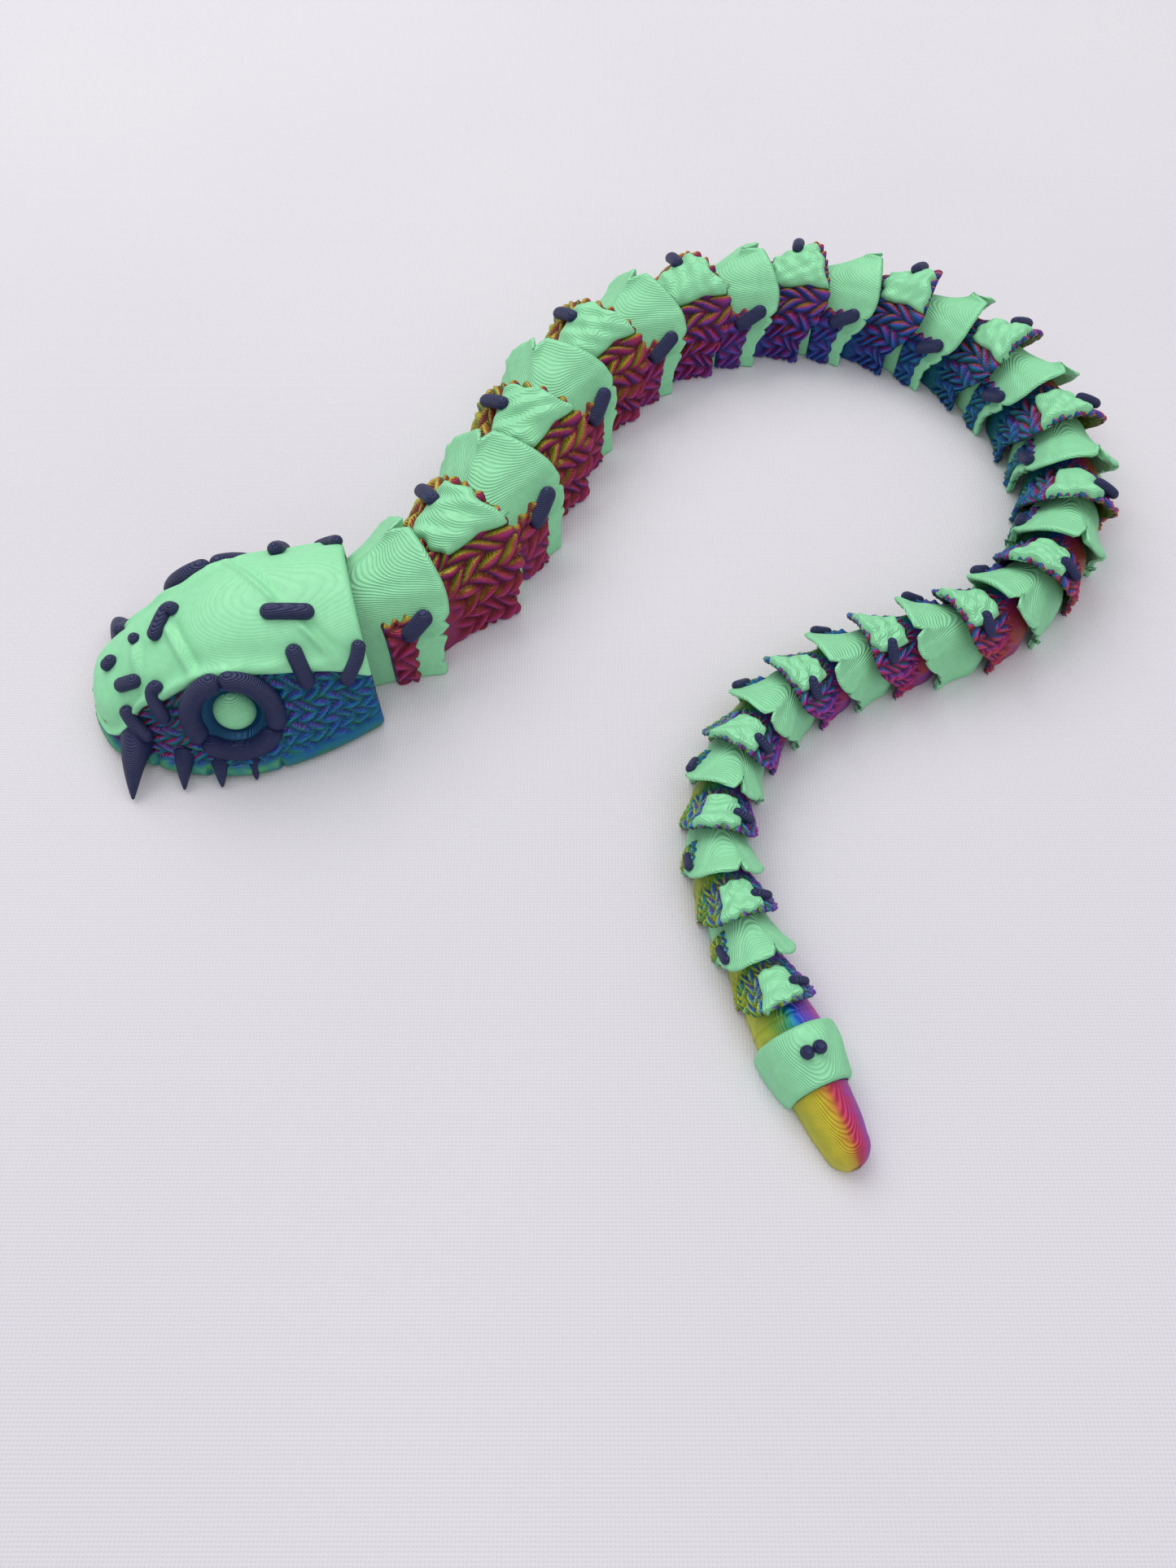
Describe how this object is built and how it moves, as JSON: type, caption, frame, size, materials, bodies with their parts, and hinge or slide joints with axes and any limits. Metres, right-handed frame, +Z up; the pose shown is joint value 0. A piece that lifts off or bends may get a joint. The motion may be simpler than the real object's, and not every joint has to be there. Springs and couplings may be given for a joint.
{
  "type": "articulated toy snake",
  "caption": "Articulated toy snake with a patchwork head, flared hollow segments that hinge side to side on upright pins, and a tapered tail.",
  "frame": {"origin": "centre of the footprint, on the surface that the snake lies on", "axes": "+Z up; +X to the right and +Y away for a viewer who has the head on the left and the tail towards them"},
  "size_m": [0.1766, 0.1772, 0.0222],
  "materials": {
    "mint": "matte printed plastic with fine layer lines",
    "rainbow": "silky printed plastic whose colour turns from magenta through blue and teal to yellow-green",
    "navy": "matte printed plastic"
  },
  "bodies": {
    "head": {"head_base": "rainbow", "head_cap": "mint", "eye_rings": "navy", "eye_pupils": "mint", "fangs": "navy", "head_stitches": "navy"},
    "mint_01": {"mint_segment_01": "mint"},
    "knit_01": {"knit_segment_01": "rainbow", "top_patch_01": "mint"},
    "mint_02": {"mint_segment_02": "mint"},
    "knit_02": {"knit_segment_02": "rainbow", "top_patch_02": "mint"},
    "mint_03": {"mint_segment_03": "mint"},
    "knit_03": {"knit_segment_03": "rainbow", "top_patch_03": "mint"},
    "mint_04": {"mint_segment_04": "mint"},
    "knit_04": {"knit_segment_04": "rainbow", "top_patch_04": "mint"},
    "mint_05": {"mint_segment_05": "mint"},
    "knit_05": {"knit_segment_05": "rainbow", "top_patch_05": "mint"},
    "mint_06": {"mint_segment_06": "mint"},
    "knit_06": {"knit_segment_06": "rainbow", "top_patch_06": "mint"},
    "mint_07": {"mint_segment_07": "mint"},
    "knit_07": {"knit_segment_07": "rainbow", "top_patch_07": "mint"},
    "mint_08": {"mint_segment_08": "mint"},
    "knit_08": {"knit_segment_08": "rainbow", "top_patch_08": "mint"},
    "mint_09": {"mint_segment_09": "mint"},
    "knit_09": {"knit_segment_09": "rainbow", "top_patch_09": "mint"},
    "mint_10": {"mint_segment_10": "mint"},
    "knit_10": {"knit_segment_10": "rainbow", "top_patch_10": "mint"},
    "mint_11": {"mint_segment_11": "mint"},
    "knit_11": {"knit_segment_11": "rainbow", "top_patch_11": "mint"},
    "mint_12": {"mint_segment_12": "mint"},
    "knit_12": {"knit_segment_12": "rainbow", "top_patch_12": "mint"},
    "mint_13": {"mint_segment_13": "mint"},
    "knit_13": {"knit_segment_13": "rainbow", "top_patch_13": "mint"},
    "mint_14": {"mint_segment_14": "mint"},
    "knit_14": {"knit_segment_14": "rainbow", "top_patch_14": "mint"},
    "mint_15": {"mint_segment_15": "mint"},
    "knit_15": {"knit_segment_15": "rainbow", "top_patch_15": "mint"},
    "mint_16": {"mint_segment_16": "mint"},
    "knit_16": {"knit_segment_16": "rainbow", "top_patch_16": "mint"},
    "mint_17": {"mint_segment_17": "mint"},
    "knit_17": {"knit_segment_17": "rainbow", "top_patch_17": "mint"},
    "tail": {"tail_core": "rainbow", "tail_sleeve": "mint", "tail_knot": "navy"}
  },
  "joints": [
    {"name": "hinge_01", "type": "hinge", "parent": "head", "child": "mint_01", "pos_m": [-0.04862, -0.00357, 0.004], "axis": [0, 0, 1], "range_deg": [-38, 2]},
    {"name": "hinge_02", "type": "hinge", "parent": "mint_01", "child": "knit_01", "pos_m": [-0.03667, 0.00333, 0.004], "axis": [0, 0, 1], "range_deg": [-38, 2]},
    {"name": "hinge_03", "type": "hinge", "parent": "knit_01", "child": "mint_02", "pos_m": [-0.02766, 0.01333, 0.004], "axis": [0, 0, 1], "range_deg": [-38, 2]},
    {"name": "hinge_04", "type": "hinge", "parent": "mint_02", "child": "knit_02", "pos_m": [-0.02232, 0.02533, 0.004], "axis": [0, 0, 1], "range_deg": [-21, 19]},
    {"name": "hinge_05", "type": "hinge", "parent": "knit_02", "child": "mint_03", "pos_m": [-0.01731, 0.03712, 0.004], "axis": [0, 0, -1], "range_deg": [-19, 21]},
    {"name": "hinge_06", "type": "hinge", "parent": "mint_03", "child": "knit_03", "pos_m": [-0.01263, 0.04871, 0.004], "axis": [0, 0, -1], "range_deg": [-33, 7]},
    {"name": "hinge_07", "type": "hinge", "parent": "knit_03", "child": "mint_04", "pos_m": [-0.00564, 0.05869, 0.004], "axis": [0, 0, -1], "range_deg": [-33, 7]},
    {"name": "hinge_08", "type": "hinge", "parent": "mint_04", "child": "knit_04", "pos_m": [0.00318, 0.06663, 0.004], "axis": [0, 0, -1], "range_deg": [-33, 7]},
    {"name": "hinge_09", "type": "hinge", "parent": "knit_04", "child": "mint_05", "pos_m": [0.01331, 0.07225, 0.004], "axis": [0, 0, -1], "range_deg": [-33, 7]},
    {"name": "hinge_10", "type": "hinge", "parent": "mint_05", "child": "knit_05", "pos_m": [0.02416, 0.07536, 0.004], "axis": [0, 0, -1], "range_deg": [-33, 7]},
    {"name": "hinge_11", "type": "hinge", "parent": "knit_05", "child": "mint_06", "pos_m": [0.03515, 0.07594, 0.004], "axis": [0, 0, -1], "range_deg": [-33, 7]},
    {"name": "hinge_12", "type": "hinge", "parent": "mint_06", "child": "knit_06", "pos_m": [0.04572, 0.07407, 0.004], "axis": [0, 0, -1], "range_deg": [-33, 7]},
    {"name": "hinge_13", "type": "hinge", "parent": "knit_06", "child": "mint_07", "pos_m": [0.05534, 0.06999, 0.004], "axis": [0, 0, 1], "range_deg": [-7, 33]},
    {"name": "hinge_14", "type": "hinge", "parent": "mint_07", "child": "knit_07", "pos_m": [0.06359, 0.06399, 0.004], "axis": [0, 0, 1], "range_deg": [-7, 33]},
    {"name": "hinge_15", "type": "hinge", "parent": "knit_07", "child": "mint_08", "pos_m": [0.07012, 0.05649, 0.004], "axis": [0, 0, 1], "range_deg": [-7, 33]},
    {"name": "hinge_16", "type": "hinge", "parent": "mint_08", "child": "knit_08", "pos_m": [0.07467, 0.04793, 0.004], "axis": [0, 0, 1], "range_deg": [-7, 33]},
    {"name": "hinge_17", "type": "hinge", "parent": "knit_08", "child": "mint_09", "pos_m": [0.07711, 0.0388, 0.004], "axis": [0, 0, 1], "range_deg": [-7, 33]},
    {"name": "hinge_18", "type": "hinge", "parent": "mint_09", "child": "knit_09", "pos_m": [0.07744, 0.02958, 0.004], "axis": [0, 0, 1], "range_deg": [-7, 33]},
    {"name": "hinge_19", "type": "hinge", "parent": "knit_09", "child": "mint_10", "pos_m": [0.07572, 0.02075, 0.004], "axis": [0, 0, 1], "range_deg": [-7, 33]},
    {"name": "hinge_20", "type": "hinge", "parent": "mint_10", "child": "knit_10", "pos_m": [0.07215, 0.01273, 0.004], "axis": [0, 0, 1], "range_deg": [-7, 33]},
    {"name": "hinge_21", "type": "hinge", "parent": "knit_10", "child": "mint_11", "pos_m": [0.06699, 0.00588, 0.004], "axis": [0, 0, -1], "range_deg": [-33, 7]},
    {"name": "hinge_22", "type": "hinge", "parent": "mint_11", "child": "knit_11", "pos_m": [0.06057, 0.00049, 0.004], "axis": [0, 0, -1], "range_deg": [-33, 7]},
    {"name": "hinge_23", "type": "hinge", "parent": "knit_11", "child": "mint_12", "pos_m": [0.05327, -0.00322, 0.004], "axis": [0, 0, -1], "range_deg": [-33, 7]},
    {"name": "hinge_24", "type": "hinge", "parent": "mint_12", "child": "knit_12", "pos_m": [0.0455, -0.00516, 0.004], "axis": [0, 0, -1], "range_deg": [-14, 26]},
    {"name": "hinge_25", "type": "hinge", "parent": "knit_12", "child": "mint_13", "pos_m": [0.03814, -0.00784, 0.004], "axis": [0, 0, -1], "range_deg": [-14, 26]},
    {"name": "hinge_26", "type": "hinge", "parent": "mint_13", "child": "knit_13", "pos_m": [0.03124, -0.01121, 0.004], "axis": [0, 0, -1], "range_deg": [-14, 26]},
    {"name": "hinge_27", "type": "hinge", "parent": "knit_13", "child": "mint_14", "pos_m": [0.02486, -0.01519, 0.004], "axis": [0, 0, -1], "range_deg": [-7.5, 32.5]},
    {"name": "hinge_28", "type": "hinge", "parent": "mint_14", "child": "knit_14", "pos_m": [0.01959, -0.02037, 0.004], "axis": [0, 0, -1], "range_deg": [-7.5, 32.5]},
    {"name": "hinge_29", "type": "hinge", "parent": "knit_14", "child": "mint_15", "pos_m": [0.01564, -0.02646, 0.004], "axis": [0, 0, 1], "range_deg": [-32.5, 7.5]},
    {"name": "hinge_30", "type": "hinge", "parent": "mint_15", "child": "knit_15", "pos_m": [0.01314, -0.03315, 0.004], "axis": [0, 0, 1], "range_deg": [-32.5, 7.5]},
    {"name": "hinge_31", "type": "hinge", "parent": "knit_15", "child": "mint_16", "pos_m": [0.01216, -0.04012, 0.004], "axis": [0, 0, 1], "range_deg": [-32.5, 7.5]},
    {"name": "hinge_32", "type": "hinge", "parent": "mint_16", "child": "knit_16", "pos_m": [0.0127, -0.04705, 0.004], "axis": [0, 0, 1], "range_deg": [-32.5, 7.5]},
    {"name": "hinge_33", "type": "hinge", "parent": "knit_16", "child": "mint_17", "pos_m": [0.01472, -0.05362, 0.004], "axis": [0, 0, 1], "range_deg": [-22, 18]},
    {"name": "hinge_34", "type": "hinge", "parent": "mint_17", "child": "knit_17", "pos_m": [0.01694, -0.06008, 0.004], "axis": [0, 0, 1], "range_deg": [-22, 18]},
    {"name": "hinge_35", "type": "hinge", "parent": "knit_17", "child": "tail", "pos_m": [0.01938, -0.06643, 0.004], "axis": [0, 0, 1], "range_deg": [-22, 18]}
  ]
}
